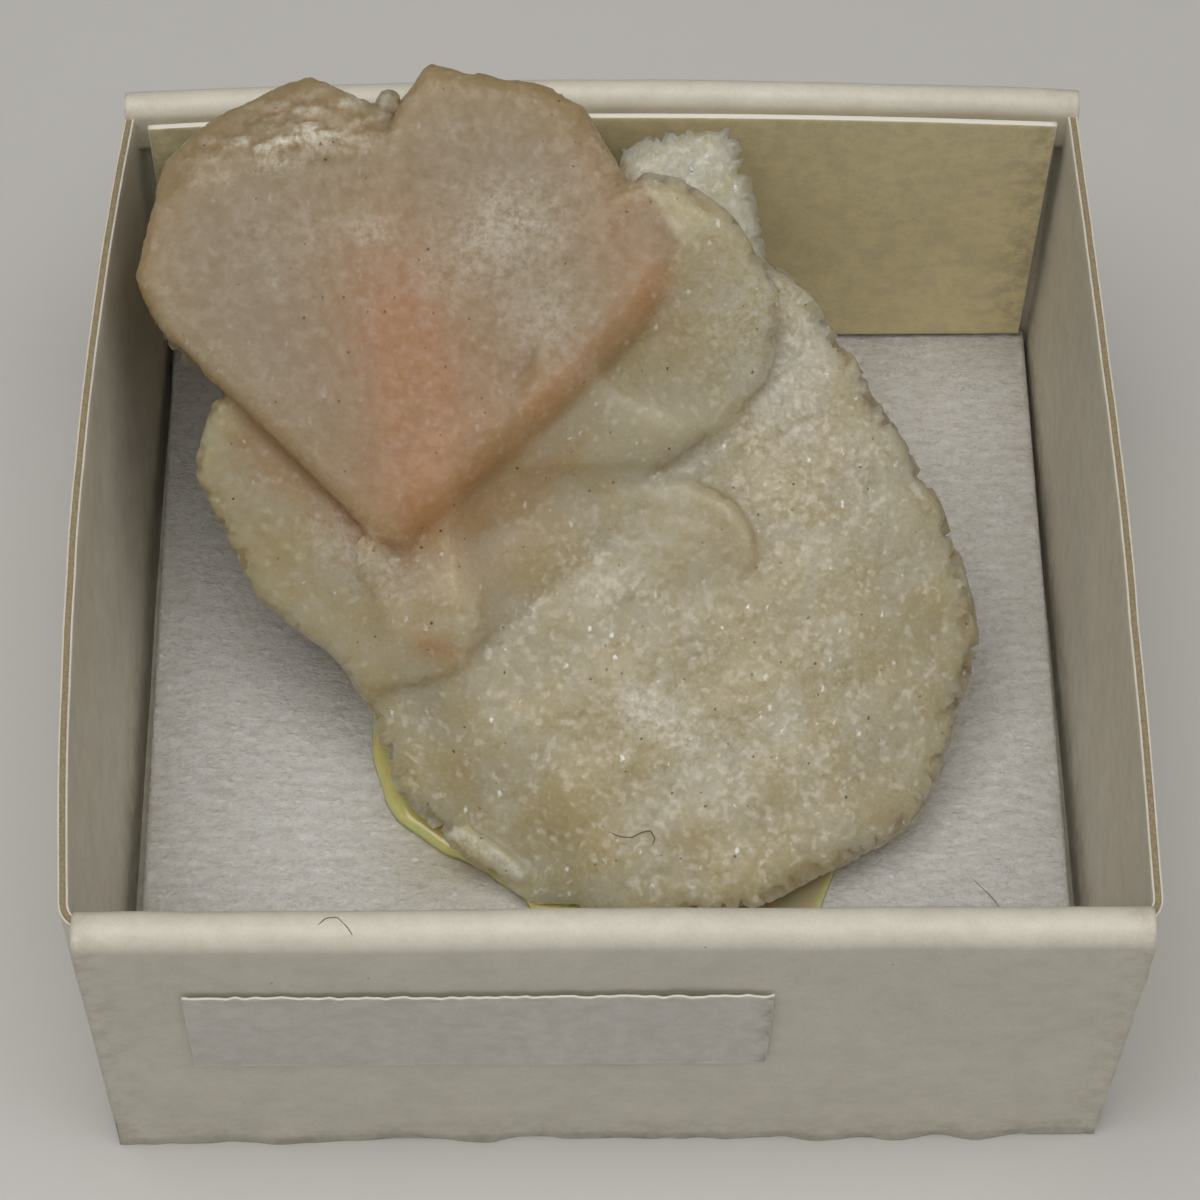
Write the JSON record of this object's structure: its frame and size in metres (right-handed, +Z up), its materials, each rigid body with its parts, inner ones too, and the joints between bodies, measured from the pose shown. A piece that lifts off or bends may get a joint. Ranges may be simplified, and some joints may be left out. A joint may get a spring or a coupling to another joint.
{
  "type": "stilbite cluster in a card specimen tray",
  "caption": "Two-lobed pink stilbite sheaf on a sugary pale matrix, glued to the foam pad of a small open card tray with a bare name card and a bare label.",
  "frame": {"origin": "middle of the tray's floor, on the surface that the tray stands on", "axes": "+Z up, +X to the tray's right, -Y towards the tray's labelled front; the sheaf leans back over the rear left of the tray"},
  "size_m": [0.0418, 0.0403, 0.025],
  "materials": {
    "cream_card": "matt coated board, cream outside, raw greyboard on the cut edges",
    "white_foam": "fine white polyethylene foam with a silky streaked skin",
    "stilbite": "cloudy translucent pink to cream zeolite, pearly on its broad faces and sugary on the matrix",
    "yellow_glue": "clear yellowed glue, glossy",
    "yellow_card": "smooth pale yellow card, bare",
    "white_paper": "satin white paper with torn perforated edges, bare"
  },
  "bodies": {
    "root": {"card_tray": "cream_card", "foam_pad": "white_foam", "stilbite_cluster": "stilbite", "glue": "yellow_glue", "name_card": "yellow_card", "number_label": "white_paper"}
  },
  "joints": []
}
